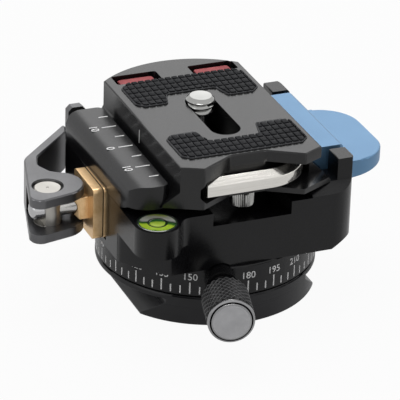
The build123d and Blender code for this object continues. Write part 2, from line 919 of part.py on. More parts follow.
def make_hex_key():
    corner_r = key_flats / math.sqrt(3)
    centre_y = key_y + key_bend_r
    section = Plane((key_bend_x, key_y, key_z), x_dir=(0, 1, 0), z_dir=(1, 0, 0))
    hexagon = section * RegularPolygon(corner_r, 6, rotation=90)
    long_arm = extrude(hexagon, -(key_bend_x - key_left))
    bend = revolve(hexagon, Axis((key_bend_x, centre_y, 0), (0, 0, 1)), 90)
    turned = Pos(key_bend_x, centre_y, 0) * Rot(0, 0, 90) * Pos(-key_bend_x, -centre_y, 0) * hexagon
    short_arm = extrude(turned, key_short_len, dir=(0, 1, 0))
    return long_arm + bend + short_arm


def make_sliding_jaw():
    lip_x = plate_x - slot_half_at(jaw_z1 - jaw_lip_h) - groove_gap
    foot_x = plate_x - slot_half_at(ledge_z) - groove_gap
    foot_z = floor_z + groove_gap
    jaw = prism_xz(
        [
            (jaw_foot_x, foot_z),
            (wall_x, foot_z, edge_chamfer),
            (wall_x, jaw_z1, jaw_top_r),
            (lip_x, jaw_z1, edge_chamfer),
            (lip_x, jaw_z1 - jaw_lip_h),
            (foot_x, ledge_z),
            (jaw_foot_x, ledge_z, edge_chamfer),
        ],
        -jaw_half_y,
        jaw_half_y,
    )
    jaw &= prism_xy(
        [
            (wall_x, -jaw_half_y, body_corner_r),
            (lip_x, -jaw_half_y, jaw_corner_r),
            (lip_x, jaw_lip_step - jaw_half_y),
            (jaw_foot_x, jaw_lip_step - jaw_half_y),
            (jaw_foot_x, jaw_half_y - jaw_lip_step),
            (lip_x, jaw_half_y - jaw_lip_step),
            (lip_x, jaw_half_y, jaw_corner_r),
            (wall_x, jaw_half_y, jaw_corner_r),
        ],
        floor_z,
        jaw_z1,
    )
    relief = Cone(relief_r, relief_top_r, relief_rise)
    jaw -= Pos(level_x, level_y, foot_z + relief_rise / 2) * relief
    jaw -= block(wall_x - past, brass_seat_x, -brass_half_y, brass_half_y, floor_z, brass_z1)
    lug_z0 = jaw_slot_bottom + lug_gap
    jaw += block(brass_seat_x, lug_inner_x, -lug_half_y, lug_half_y, lug_z0, foot_z + fuse)
    return jaw - rod_x(bar_r + bar_clear, wall_x - past, lug_inner_x + past, 0, bar_z)


def make_pressure_plate():
    plate = prism_yz(
        [
            (-brass_half_y, brass_z0, brass_corner),
            (brass_half_y, brass_z0, brass_corner),
            (brass_half_y, brass_z1, brass_corner),
            (-brass_half_y, brass_z1, brass_corner),
        ],
        brass_x,
        brass_seat_x,
    )
    seam_x = brass_x + brass_seam_x
    seam = block(seam_x, seam_x + brass_seam, -body_half_y, body_half_y, ring_z0, jaw_z1)
    core = prism_yz(
        [
            (-brass_half_y + brass_seam, brass_z0 + brass_seam, brass_corner),
            (brass_half_y - brass_seam, brass_z0 + brass_seam, brass_corner),
            (brass_half_y - brass_seam, brass_z1 - brass_seam, brass_corner),
            (-brass_half_y + brass_seam, brass_z1 - brass_seam, brass_corner),
        ],
        brass_x,
        brass_seat_x,
    )
    plate -= seam - core
    nose = prism_yz(
        [
            (-nose_half_y, nose_z0),
            (nose_half_y, nose_z0),
            (nose_half_y, nose_z1),
            (-nose_half_y, nose_z1),
        ],
        brass_x - nose_len,
        brass_x,
    )
    front_edges = nose.faces().sort_by(Axis.X)[0].edges()
    plate += chamfer(front_edges, nose_chamfer)
    return plate - rod_x(bar_r + bar_clear, brass_x - nose_len - past, brass_seat_x + past, 0, bar_z)


def make_draw_bar():
    return rod_x(bar_r, nut_x - bar_nut_depth, bar_end_x, 0, bar_z)


def make_draw_nut():
    nut = rod_x(nut_r, nut_x - nut_len, nut_x, 0, bar_z)
    crown = nut.edges().filter_by(GeomType.CIRCLE).sort_by(Axis.X)[0]
    nut = fillet(crown, nut_dome)
    return nut - rod_x(bar_r, nut_x - bar_nut_depth, nut_x + past, 0, bar_z)


def make_pivot_barrel():
    barrel = broken(disc(barrel_r, barrel_z0, barrel_z1, pivot_x, 0), barrel_z1)
    start = pivot_x - barrel_r - past
    barrel -= rod_x(bar_r + thread_gap, start, pivot_x + barrel_r + past, 0, bar_z)
    seat = nut_r + fit_gap
    return barrel - block(start, nut_x, -barrel_r, barrel_r, bar_z - seat, bar_z + seat)


def lever_outline():
    """Plan of the lever about its pivot: cam nose, flat front side, bent arm."""
    return [
        (cam_x + cam_r * cam_touch_x, cam_y + cam_r * cam_touch_y),
        (nose_x, nose_y, nose_r),
        (heel_x, heel_y, heel_r),
        (elbow_x, elbow_y, elbow_r),
        (tip_out_x, tip_out_y, tip_r),
        (tip_in_x, tip_in_y, tip_r),
        (bend_x, bend_y, waist_r),
        (waist_x, waist_y, waist_r),
        (hip_x, hip_y, hip_r),
        (cam_x + cam_r * cam_leave_x, cam_y + cam_r * cam_leave_y),
        (cam_x, cam_y),
    ]


def lever_tab():
    """Thumb tab that stands up at the arm's tip, on a root that fills the corner beside it."""
    tab_x1 = tip_out_x + tab_x
    tab_y0 = tip_out_y - tab_y
    root_z = lever_z0 + tab_root_rise
    tip = [(tip_out_x, tip_out_y), (tip_in_x, tip_in_y), (tab_x1, tab_y0), (tab_x1, tip_out_y)]
    root = prism_xy(tip, root_z, lever_z1)
    tab = block(tip_out_x, tab_x1, tab_y0, tip_out_y, root_z, tab_top)
    sides = ShapeList(edges_at_z(tab, tab_top)).sort_by(Axis.X)
    return root + chamfer([sides[0], sides[-1]], tab_bevel)


def make_cam_lever():
    arm = prism_xy(lever_outline(), lever_z0, lever_z1) + disc(cam_r, lever_z0, lever_z1, cam_x, cam_y)
    arm = broken(broken(arm, lever_z1), lever_z0)
    gap_z0 = lever_z0 + flange_low_t
    gap_z1 = lever_z1 - flange_top_t
    reach = web_r + cam_r
    arm -= block(-reach, reach, -reach, web_y, gap_z0, gap_z1) + disc(web_r, gap_z0, gap_z1)
    under = lever_z0 - past
    slope = [
        (arm_slope_start, under),
        (arm_slope_start, lever_z0),
        (arm_slope_end, lever_z0 + arm_slope_rise),
        (arm_slope_end, under),
    ]
    arm -= prism_yz(slope, -reach, tip_out_x + tab_x)
    lever = arm + lever_tab()
    lever -= disc(barrel_r + fit_gap, lever_z0 + barrel_drop, lever_z1 + past)
    lever -= disc(barrel_mouth_r, lever_z1 - barrel_mouth_d, lever_z1 + past)
    return Pos(pivot_x, 0, 0) * lever


def make_release_jaw():
    lip_x = plate_x + slot_half_at(jaw_z1 - jaw_lip_h) + groove_gap
    flank_x = plate_x + slot_half_at(ledge_z) + groove_gap
    head = prism_xz(
        [
            (release_x, release_z),
            (release_x - release_barrel_r, release_z),
            (release_x - release_barrel_r, ledge_z - release_heel),
            (flank_x, ledge_z),
            (lip_x, jaw_z1 - jaw_lip_h),
            (lip_x, jaw_z1, edge_chamfer),
            (body_half_x, jaw_z1, release_top_r),
            (body_half_x, release_tab_top, release_crook_r),
            (release_root_x + release_web, release_tab_top),
            (release_root_x + release_web, release_z + release_web_rise),
            (release_root_x, release_z, release_root_r),
        ],
        -release_half_y,
        release_half_y,
    )
    head += rod_y(release_barrel_r, -release_half_y, release_half_y, release_x, release_z)
    tab = prism_xz(
        [
            (release_x, release_z),
            (release_root_x, release_z),
            (release_tab_x, release_tab_top - release_tab_t),
            (release_tab_x, release_tab_top),
            (release_x, release_tab_top),
        ],
        -release_half_y,
        release_half_y,
    )
    plan = prism_xy(
        [
            (lip_x - past, -release_half_y - past),
            (release_x, -release_half_y - past),
            (body_half_x, -release_tab_half_y),
            (release_tab_x, -release_tab_half_y, release_tab_corner),
            (release_tab_x, release_tab_half_y, release_tab_corner),
            (body_half_x, release_tab_half_y),
            (release_x, release_half_y + past),
            (lip_x - past, release_half_y + past),
        ],
        floor_z - body_h,
        jaw_z1 + past,
    )
    tab = broken(tab & plan, release_tab_top)
    jaw = (head & plan) + tab
    bore_half = release_half_y + past
    jaw -= rod_y(release_pin_r + fit_gap, -bore_half, bore_half, release_x, release_z)
    jaw -= rod_y(spring_notch_r, -spring_notch_half, spring_notch_half, release_x, release_z)
    jaw -= block(pocket_x, release_x, -spring_notch_half, spring_notch_half, ring_z1, release_z)
    return jaw


def make_release_pin():
    return rod_y(release_pin_r, -release_pin_half, release_pin_half, release_x, release_z)


def coil(radius, wire, length, turns):
    """Coil about Z, standing on z = 0."""
    path = Helix(length / turns, length, radius)
    start = Plane(origin=path @ 0, z_dir=path % 0)
    return sweep(start * Circle(wire), path)


def make_jaw_spring():
    x0 = lug_inner_x + jaw_spring_wire
    x1 = jaw_slot_inner_x + jaw_spring_pocket - jaw_spring_wire
    turned = coil(jaw_spring_r, jaw_spring_wire, x1 - x0, jaw_spring_turns)
    return Pos(x0, 0, bar_z) * Rot(0, 90, 0) * turned


def make_release_spring():
    turned = coil(release_spring_r, release_spring_wire, release_spring_len, release_spring_turns)
    return Pos(release_x, release_spring_len / 2, release_z) * Rot(90, 0, 0) * turned


parts = {
    "base_disc": make_base_disc(),
    "thread_insert": make_thread_insert(),
    "pan_hub": make_pan_hub(),
    "base_screws": Compound(children=base_screws()),
    "lower_slip_ring": make_slip_ring(base_h),
    "upper_slip_ring": make_slip_ring(ring_z1 + run_gap),
    "scale_ring": make_scale_ring(),
    "ring_screws": Compound(children=ring_screws()),
    "knob_boss": make_knob_boss(),
    "brake_shoe": make_brake_shoe(),
    "knob_stud": make_knob_stud(),
    "knob_grip": make_knob_grip(),
    "knob_cap": make_knob_cap(),
    "clamp_body": make_clamp_body(),
    "level_cup": make_level_cup(),
    "level_vial": make_level_vial(),
    "draw_bar": make_draw_bar(),
    "draw_nut": make_draw_nut(),
    "pivot_barrel": make_pivot_barrel(),
    "release_pin": make_release_pin(),
    "release_spring": make_release_spring(),
    "jaw_spring": make_jaw_spring(),
    "cam_lever": make_cam_lever(),
    "sliding_jaw": make_sliding_jaw(),
    "pressure_plate": make_pressure_plate(),
    "release_jaw": make_release_jaw(),
    "quick_plate": make_quick_plate(),
    "front_pad": make_front_pad(),
    "back_pad": make_back_pad(),
    "left_red_pad": make_red_pad(red_pocket_left),
    "right_red_pad": make_red_pad(red_pocket_right),
    "stop_screws": Compound(children=[make_stop_screw(y) for y in (stop_front_y, stop_back_y)]),
    "key_magnet": make_key_magnet(),
    "screw_washer": make_screw_washer(),
    "camera_screw": make_camera_screw(),
    "hex_key": make_hex_key(),
}

for node, shape in parts.items():
    export_step(shape, f"parts/{node}.step")
    print(f"{node}: {len(shape.solids())} solid(s), {shape.volume:.1f} mm3")
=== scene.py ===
import math

import bmesh
import bpy
from mathutils import Matrix, Vector


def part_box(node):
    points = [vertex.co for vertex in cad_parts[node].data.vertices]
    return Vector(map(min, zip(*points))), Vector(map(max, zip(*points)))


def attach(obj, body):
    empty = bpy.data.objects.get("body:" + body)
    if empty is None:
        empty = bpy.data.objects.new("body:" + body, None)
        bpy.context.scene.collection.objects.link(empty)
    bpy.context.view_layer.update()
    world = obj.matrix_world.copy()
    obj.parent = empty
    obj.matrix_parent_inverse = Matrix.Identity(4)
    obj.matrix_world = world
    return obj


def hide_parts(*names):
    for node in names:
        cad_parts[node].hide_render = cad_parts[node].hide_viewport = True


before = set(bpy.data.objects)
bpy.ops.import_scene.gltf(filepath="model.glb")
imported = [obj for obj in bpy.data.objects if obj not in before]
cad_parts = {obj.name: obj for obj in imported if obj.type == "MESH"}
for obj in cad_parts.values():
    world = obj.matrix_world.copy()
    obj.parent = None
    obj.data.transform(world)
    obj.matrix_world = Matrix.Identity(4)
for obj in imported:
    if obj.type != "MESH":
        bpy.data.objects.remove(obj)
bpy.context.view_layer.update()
bpy.ops.object.select_all(action="DESELECT")

MM = 0.001
quarter_turn = math.radians(90)

# Sizes of the clamp that the details follow, in millimetres, and angles in degrees

# White marks on the ring, the sliding jaw and the plate's side
mark_proud = 0.02
mark_sunk = 0.05
mark_width = 0.3
digit_weight = 0.012
ring_r = 23.86
ring_zero_angle = -270
ring_scale_foot = 7.3
ring_scale_long = 10.0
ring_scale_short = 9.1
ring_number_z = 11.2
ring_number_size = 2.2
jaw_top = 33.3
jaw_line_end = -17.35
jaw_long_start = -20.6
jaw_short_start = -19.5
jaw_number_x = -22.4
jaw_number_size = 2.6
plate_side_x = -15.3
plate_line_y = 1.5
plate_line_foot = 32.8
plate_line_h = 3.1

# Rubber pads with square studs
pad_top = 38.48
pad_border = 0.3
groove_inset = 0.1
groove_crown = 0.04
stud_columns = range(-9, 10)
stud_x = 1.06
stud_pitch_x = 1.55
stud_size_x = 1.34
stud_size_y = 1.96
stud_h = 0.36
stud_foot = 0.2
stud_round = 0.09
stud_taper = (0.9, 0.93, 1)
front_rows = (-9.06, -11.3, -13.5, -15.7, -17.75)
back_rows = (8.36, 10.43, 12.63, 14.88, 17.05, 19.2)

# Brake knob, its spoke measured from the middle of the clamp
knob_angle = -15.0
knob_z = 11.2
grip_r = 5.0
grip_start = 31.2
grip_end = 42.5
grip_rim = 0.6
cap_seat_r = 4.3
cap_seat_d = 0.7
knob_bore_r = 2.0
knob_bore_d = 6
knurl_steps = 44
knurl_rows = 14
knurl_depth = 0.34

# Round level
level_x = -20.4
level_y = -22.6
level_z = 26.5
level_steps = 64
level_facing = -23
vial_r = 4.15
vial_bottom = 23.2
rim_hole_inset = 0.34
circle_r = 1.95
circle_thick = 0.13
circle_flat = 0.6
circle_sunk = 0.06
bubble_r = 1.6
bubble_flat = 0.08
bubble_shift = (0.1, 0.15, -0.1)

# Outlines of the level's glass: in from the vial's wall, up from the top of its seat
vial_outline = ((0, -0.12), (0.14, 0), (0.3, -0.1))
rim_outline = ((0.02, -0.5), (0.02, -0.05), (0.2, 0.05), (0.3, 0.05))

# Camera screw and threaded insert
plate_x = 0.5
screw_y = 6.3
screw_top = 39.5
screw_tip_r = 2.6
screw_chamfer = 0.8
screw_thread_end = 1.3
screw_clear_r = 12
thread_r = 3.175
thread_root_r = 2.62
thread_pitch = 1.27
thread_low = 36.0
insert_top = 7.4
insert_bore_r = 3.97
insert_root_r = 4.55
insert_pitch = 1.5875
insert_overrun = 0.4
cutter_overlap = 0.2
cutter_share = 0.98
cutter_steps = 32

# Stop screws, draw nut, pivot barrel and brass plate
stop_head_r = 2.5
stop_head_h = 3.6
stop_chamfer_low = 0.6
stop_chamfer_high = 0.3
stop_knurl_steps = 72
stop_knurl_valley = 0.93
stop_shank_r = 1.2
stop_front_y = -17.8
stop_back_y = 18.8
nut_r = 2.2
nut_dome = ((1, 1.5), (0.93, 0.9), (0.72, 0.35), (0.4, 0.06))
nut_tip_r = 0.1
barrel_x = -36.3
barrel_y = 0.35
barrel_lift = 0.35
barrel_spread = 1.05
barrel_head_h = 0.5
centre_mark_r = 0.35
centre_mark_d = 0.3
brass_seam_x = -26.1
brass_seam = 0.25

# Copies of the CAD's pieces: the gap that is welded in millimetres, then the angles in
# degrees under which faces are merged and over which edges are rounded
weld_gap = 0.0015
merge_angle = 0.4
edge_angle = 50


# ---- Handling of pieces


def take(piece):
    """Make one piece the only selected one."""
    bpy.ops.object.select_all(action="DESELECT")
    piece.select_set(True)
    bpy.context.view_layer.objects.active = piece


def settle(piece):
    """Put a piece's place into its mesh."""
    take(piece)
    bpy.ops.object.transform_apply(location=True, rotation=True, scale=True)
    return piece


def finish_modifiers(piece):
    """Apply every modifier of a piece."""
    take(piece)
    for modifier in list(piece.modifiers):
        bpy.ops.object.modifier_apply(modifier=modifier.name)


def begin_shaping(piece):
    """Open a piece in edit mode."""
    take(piece)
    bpy.ops.object.mode_set(mode="EDIT")


def end_shaping():
    """Leave edit mode."""
    bpy.ops.object.mode_set(mode="OBJECT")


def pick_faces(piece, wanted):
    """Select, in edit mode, the faces whose centre and normal are wanted."""
    bpy.ops.mesh.select_mode(type="FACE")
    bpy.ops.mesh.select_all(action="DESELECT")
    mesh = bmesh.from_edit_mesh(piece.data)
    for face in mesh.faces:
        face.select_set(bool(wanted(face.calc_center_median() / MM, face.normal)))
    bmesh.update_edit_mesh(piece.data)


def pick_edges(piece, wanted):
    """Select, in edit mode, the edges whose two ends are wanted."""
    bpy.ops.mesh.select_mode(type="EDGE")
    bpy.ops.mesh.select_all(action="DESELECT")
    mesh = bmesh.from_edit_mesh(piece.data)
    for edge in mesh.edges:
        edge.select_set(bool(wanted(edge.verts[0].co / MM, edge.verts[1].co / MM)))
    bmesh.update_edit_mesh(piece.data)


def pick_points(piece, wanted):
    """Select, in edit mode, the points whose place is wanted, and the edges between them."""
    bpy.ops.mesh.select_mode(type="VERT")
    bpy.ops.mesh.select_all(action="DESELECT")
    mesh = bmesh.from_edit_mesh(piece.data)
    for point in mesh.verts:
        point.select_set(bool(wanted(point.co / MM)))
    mesh.select_flush(True)
    bmesh.update_edit_mesh(piece.data)


def widen(factor, x=0.0, y=0.0):
    """Scale what is selected about the vertical axis through x, y."""
    bpy.ops.transform.resize(value=(factor, factor, 1), center_override=(x * MM, y * MM, 0))


def raised(extrude, outline, x=0.0, y=0.0):
    """Extrude a selected ring from the first (radius, height) of an outline to the last."""
    radius, height = outline[0]
    for next_radius, next_height in outline[1:]:
        extrude(TRANSFORM_OT_translate={"value": (0, 0, (next_height - height) * MM)})
        widen(next_radius / radius, x, y)
        radius, height = next_radius, next_height


def turn_faces_out():
    """Point every face of the piece in edit mode outward."""
    bpy.ops.mesh.select_all(action="SELECT")
    bpy.ops.mesh.normals_make_consistent(inside=False)


def joined(pieces, name):
    """Join several pieces into one under a new name."""
    take(pieces[0])
    for piece in pieces:
        piece.select_set(True)
    bpy.ops.object.join()
    made = bpy.context.object
    made.name = name
    made.data.name = name
    return made


def moved_copy(piece, place):
    """Copy a piece with a mesh of its own, moved by a matrix."""
    copy = bpy.data.objects.new(piece.name, piece.data.copy())
    bpy.context.scene.collection.objects.link(copy)
    copy.data.transform(place)
    return copy


def drop(piece):
    """Remove a piece that only helped to shape another."""
    bpy.data.objects.remove(piece)


def soften(piece, angle):
    """Shade smooth over edges flatter than an angle in degrees."""
    take(piece)
    bpy.ops.object.shade_smooth_by_angle(angle=math.radians(angle))


# ---- Finishes

evenly = (1, 1, 1)
origin = (0, 0, 0)
upright = (0, 0, 0)


def combined(tree, operation, first, second):
    """One output joined with a second output, or with a plain number."""
    made = tree.nodes.new("ShaderNodeMath")
    made.operation = operation
    tree.links.new(first, made.inputs[0])
    if isinstance(second, float):
        made.inputs[1].default_value = second
    else:
        tree.links.new(second, made.inputs[1])
    return made.outputs["Value"]


class Finish:
    """A surface whose tone, polish and grain vary over the piece's own place."""

    socket_names = {
        "colour": "Base Color",
        "roughness": "Roughness",
        "metallic": "Metallic",
        "specular": "Specular IOR Level",
        "coat": "Coat Weight",
        "coat_roughness": "Coat Roughness",
    }

    def __init__(self, name):
        self.material = bpy.data.materials.new(name)
        self.material.use_nodes = True
        self.tree = self.material.node_tree
        self.shader = self.tree.nodes["Principled BSDF"]
        self.place = self.tree.nodes.new("ShaderNodeTexCoord").outputs["Object"]

    def link(self, output, socket):
        self.tree.links.new(output, socket)

    def socket(self, **values):
        """Set sockets of the surface to plain values."""
        for key, value in values.items():
            self.shader.inputs[self.socket_names[key]].default_value = value

    def turned_place(self, scale=evenly, centre=origin, turn=upright):
        """Coordinates in millimetres about a centre, stretched by scale."""
        mapping = self.tree.nodes.new("ShaderNodeMapping")
        mapping.vector_type = "TEXTURE"
        mapping.inputs["Location"].default_value = [v * MM for v in centre]
        mapping.inputs["Rotation"].default_value = [math.radians(v) for v in turn]
        mapping.inputs["Scale"].default_value = [v * MM for v in scale]
        self.link(self.place, mapping.inputs["Vector"])
        return mapping.outputs["Vector"]

    def axis(self, place, name):
        """One of the coordinates X, Y and Z of a place."""
        parts = self.tree.nodes.new("ShaderNodeSeparateXYZ")
        self.link(place, parts.inputs["Vector"])
        return parts.outputs[name]

    def noise(self, place, scale, detail=2.0, rough=0.5):
        """Cloudy value between 0 and 1."""
        made = self.tree.nodes.new("ShaderNodeTexNoise")
        made.inputs["Scale"].default_value = scale
        made.inputs["Detail"].default_value = detail
        made.inputs["Roughness"].default_value = rough
        self.link(place, made.inputs["Vector"])
        return made.outputs["Fac"]

    def spread(self, value, low, high, start=0.3, end=0.7):
        """Map a value's run from start to end onto low to high."""
        made = self.tree.nodes.new("ShaderNodeMapRange")
        made.inputs["From Min"].default_value = start
        made.inputs["From Max"].default_value = end
        made.inputs["To Min"].default_value = low
        made.inputs["To Max"].default_value = high
        self.link(value, made.inputs["Value"])
        return made.outputs["Result"]

    def bands(self, value, stops):
        """Colour that runs with a value through stops of (position, colour)."""
        ramp = self.tree.nodes.new("ShaderNodeValToRGB")
        made = ramp.color_ramp.elements
        for stop, (at, colour) in zip(made, (stops[0], stops[-1])):
            stop.position, stop.color = at, (*colour, 1)
        for at, colour in stops[1:-1]:
            made.new(at).color = (*colour, 1)
        self.link(value, ramp.inputs["Fac"])
        self.link(ramp.outputs["Color"], self.shader.inputs["Base Color"])

    def tone(self, value, dark, light, start=0.35, end=0.65):
        """Colour that runs from dark to light with a value."""
        self.bands(value, ((start, dark), (end, light)))

    def polish(self, value, low, high):
        """Roughness that runs from low to high with a value."""
        self.link(self.spread(value, low, high), self.shader.inputs["Roughness"])

    def relief(self, value, depth):
        """Bumps of a depth in millimetres."""
        bump = self.tree.nodes.new("ShaderNodeBump")
        bump.inputs["Distance"].default_value = depth * MM
        bump.inputs["Strength"].default_value = 1.0
        self.link(value, bump.inputs["Height"])
        self.link(bump.outputs["Normal"], self.shader.inputs["Normal"])


def blasted(name, dark, light, rough, metallic=0.0, grain=0.09, depth=0.004, **sockets):
    """Anodised or blasted metal: an even, fine grain with a slow change of tone."""
    made = Finish(name)
    place = made.turned_place()
    fine = made.noise(place, 1 / grain)
    made.tone(made.noise(place, scale=0.09, detail=3), dark, light)
    made.polish(fine, rough - 0.05, rough + 0.06)
    made.relief(fine, depth)
    made.socket(metallic=metallic, **sockets)
    return made.material


def turned(name, dark, light, rough, metallic, centre=origin, turn=upright, **sockets):
    """Lathe-turned metal: fine lines round the axis that a turn brings to Z."""
    made = Finish(name)
    line_pitch = 0.12
    lines = made.noise(made.turned_place((40, 40, line_pitch), centre, turn),
                       scale=1, detail=3, rough=0.7)
    slow = made.noise(made.turned_place(), scale=0.12)
    made.tone(slow, dark, light)
    made.polish(lines, rough - 0.06, rough + 0.08)
    made.relief(lines, depth=0.004)
    made.socket(metallic=metallic, **sockets)
    return made.material


def faced(name, dark, light, rough, metallic, centre, turn):
    """A flat face off the lathe: fine rings about its axis."""
    made = Finish(name)
    ring_pitch = 0.16
    place = made.turned_place(evenly, centre, turn)
    rings = made.tree.nodes.new("ShaderNodeTexWave")
    rings.wave_type = "RINGS"
    rings.rings_direction = "Z"
    rings.inputs["Scale"].default_value = 0.314 / ring_pitch
    rings.inputs["Distortion"].default_value = 0.4
    made.link(place, rings.inputs["Vector"])
    made.tone(made.noise(place, scale=0.3, detail=3), dark, light)
    made.polish(rings.outputs["Fac"], rough - 0.05, rough + 0.05)
    made.relief(rings.outputs["Fac"], depth=0.003)
    made.socket(metallic=metallic)
    return made.material


def drawn(name, dark, light, rough, metallic, stretch, depth=0.004):
    """Drawn or brushed metal: streaks along one direction."""
    made = Finish(name)
    streaks = made.noise(made.turned_place(stretch), scale=1, detail=4, rough=0.65)
    made.tone(streaks, dark, light)
    made.polish(streaks, rough - 0.06, rough + 0.08)
    made.relief(streaks, depth)
    made.socket(metallic=metallic)
    return made.material


def rubbery(name, dark, light, rough, grain, depth):
    """Matt rubber with a fine grain."""
    made = Finish(name)
    place = made.turned_place()
    fine = made.noise(place, 1 / grain, detail=4, rough=0.6)
    made.tone(made.noise(place, scale=0.5, detail=3), dark, light)
    made.polish(fine, rough - 0.06, rough + 0.06)
    made.relief(fine, depth)
    return made.material


def studded(name, top, groove_highlight, rough, floor_z, top_z):
    """Moulded rubber: dark on the studs, with a painted highlight that makes the grooves between
    them lighter.
    """
    made = Finish(name)
    place = made.turned_place()
    height = made.spread(made.axis(place, "Z"), 0.0, 1.0, floor_z, top_z)
    # Painted highlight: lighter low down between the studs, standing in for their lit sides.
    made.tone(height, groove_highlight, top, start=0.3, end=0.5)
    fine = made.noise(place, scale=6, detail=4, rough=0.6)
    made.polish(fine, rough - 0.06, rough + 0.06)
    made.relief(fine, depth=0.008)
    made.socket(specular=0.07)
    return made.material


def knurled(name, shaded_valley, crest, rough, centre, turn, low_r, high_r):
    """Knurled metal with painted shade: dark down in the valleys, lighter on the tips."""
    made = Finish(name)
    across = made.turned_place((1, 1, 1000), centre, turn)
    length = made.tree.nodes.new("ShaderNodeVectorMath")
    length.operation = "LENGTH"
    made.link(across, length.inputs[0])
    height = made.spread(length.outputs["Value"], 0.0, 1.0, low_r, high_r)
    # Painted shade: the tone darkens from the tips down into the valleys.
    made.tone(height, shaded_valley, crest, start=0.2, end=1.0)
    made.polish(made.noise(made.turned_place(), scale=12), rough - 0.05, rough + 0.06)
    made.socket(specular=0.16)
    return made.material


def fluid(name, stops):
    """Clear fluid over a coloured floor, with painted light: colour bands from the near to the far
    wall stand in for the reflections and shade seen in the vial.
    """
    made = Finish(name)
    place = made.turned_place((vial_r, vial_r, 1), (level_x, level_y, level_z),
                              (0, 0, level_facing))
    sway = made.spread(made.noise(place, scale=1.6, detail=1), -0.12, 0.12)
    wavy = combined(made.tree, "ADD", made.axis(place, "Y"), sway)
    made.bands(made.spread(wavy, 0.0, 1.0, -1.0, 1.0), stops)
    made.socket(roughness=0.08, coat=0.6, coat_roughness=0.03, specular=0.3)
    return made.material


knob_middle = (0, 0, knob_z)
knob_to_z = (90, 0, knob_angle)

base_black = turned("base_black", (0.012, 0.012, 0.0135), (0.018, 0.018, 0.0205), 0.32, 0.0,
                    specular=0.3)
ring_black = turned("ring_black", (0.003, 0.003, 0.004), (0.006, 0.006, 0.007), 0.26, 0.0,
                    specular=0.3)
body_black = blasted("body_black", (0.003, 0.003, 0.0036), (0.005, 0.005, 0.006), 0.24,
                     specular=0.3)
jaw_black = blasted("jaw_black", (0.0035, 0.0035, 0.0042), (0.006, 0.006, 0.007), 0.24,
                    specular=0.4)
plate_grey = blasted("plate_grey", (0.006, 0.006, 0.0065), (0.0095, 0.0095, 0.0102), 0.22,
                     specular=0.43)
# Darker, duller finish for the plate's chamfers: painted shade along the plate's edges.
plate_edge_painted_shade = blasted("plate_edge_painted_shade", (0.002, 0.002, 0.003), (0.004, 0.004, 0.005), 0.3,
                     specular=0.08)
inner_alloy = turned("inner_alloy", (0.3, 0.3, 0.31), (0.38, 0.38, 0.39), 0.35, 0.9)
jaw_blue = blasted("jaw_blue", (0.13, 0.275, 0.46), (0.142, 0.295, 0.485), 0.38, 0.4)
lever_grey = blasted("lever_grey", (0.11, 0.11, 0.114), (0.145, 0.145, 0.15), 0.34, 0.85,
                     grain=0.12, depth=0.01)
# The knurl's near-black valleys are painted shade.
knob_grey = knurled("knob_grey", (0.002, 0.002, 0.0025), (0.2, 0.2, 0.205), 0.4,
                    knob_middle, knob_to_z, grip_r - 0.09, grip_r)
rim_grey = turned("rim_grey", (0.24, 0.24, 0.245), (0.32, 0.32, 0.325), 0.2, 1.0,
                  knob_middle, knob_to_z)
cap_grey = faced("cap_grey", (0.36, 0.36, 0.37), (0.42, 0.42, 0.43), 0.34, 0.8,
                 knob_middle, knob_to_z)
brass = drawn("brass", (0.74, 0.475, 0.225), (0.92, 0.65, 0.36), 0.34, 0.7, (3, 0.12, 3))
# Dark brass for the seam's walls and floor: painted shade in the narrow seam.
seam_painted_shade = blasted("seam_painted_shade", (0.03, 0.018, 0.008), (0.05, 0.03, 0.013), 0.6,
                      specular=0.2)
bright_steel = drawn("bright_steel", (0.55, 0.54, 0.52), (0.61, 0.6, 0.58), 0.2, 0.95,
                     (6, 0.2, 0.2), depth=0.0006)
bolt_steel = turned("bolt_steel", (0.3, 0.3, 0.292), (0.4, 0.4, 0.388), 0.12, 1.0,
                    (plate_x, screw_y, 0))
barrel_steel = turned("barrel_steel", (0.42, 0.405, 0.375), (0.52, 0.505, 0.47), 0.32, 0.85,
                      (barrel_x, barrel_y, 0))
spring_steel = blasted("spring_steel", (0.3, 0.3, 0.31), (0.42, 0.42, 0.43), 0.3, 0.9,
                       grain=0.05)
key_steel = drawn("key_steel", (0.68, 0.66, 0.62), (0.76, 0.74, 0.7), 0.12, 0.95,
                  (9, 0.3, 0.3), depth=0.0008)
chrome = blasted("chrome", (0.4, 0.4, 0.41), (0.5, 0.5, 0.51), 0.12, 1.0,
                 grain=0.3, depth=0.002)
magnet_nickel = blasted("magnet_nickel", (0.4, 0.39, 0.36), (0.5, 0.49, 0.46), 0.25, 0.95)
slip_plastic = blasted("slip_plastic", (0.55, 0.54, 0.5), (0.66, 0.65, 0.61), 0.5)
cup_black = blasted("cup_black", (0.004, 0.004, 0.005), (0.008, 0.008, 0.009), 0.3,
                    specular=0.3)
# The grooves' lighter tone is a painted highlight for the lit sides of the studs.
pad_rubber = studded("pad_rubber", (0.008, 0.0085, 0.0105), (0.07, 0.071, 0.075), 0.5,
                     pad_top - stud_h, pad_top)
red_rubber = rubbery("red_rubber", (0.3, 0.05, 0.055), (0.4, 0.08, 0.085), 0.7,
                     grain=0.25, depth=0.02)
mark_white = blasted("mark_white", (0.9, 0.9, 0.9), (0.98, 0.98, 0.98), 0.6,
                     grain=0.05, depth=0.002)
level_glass = blasted("level_glass", (0.03, 0.06, 0.035), (0.07, 0.12, 0.06), 0.08,
                      grain=3, depth=0.0, coat=1.0, coat_roughness=0.03)
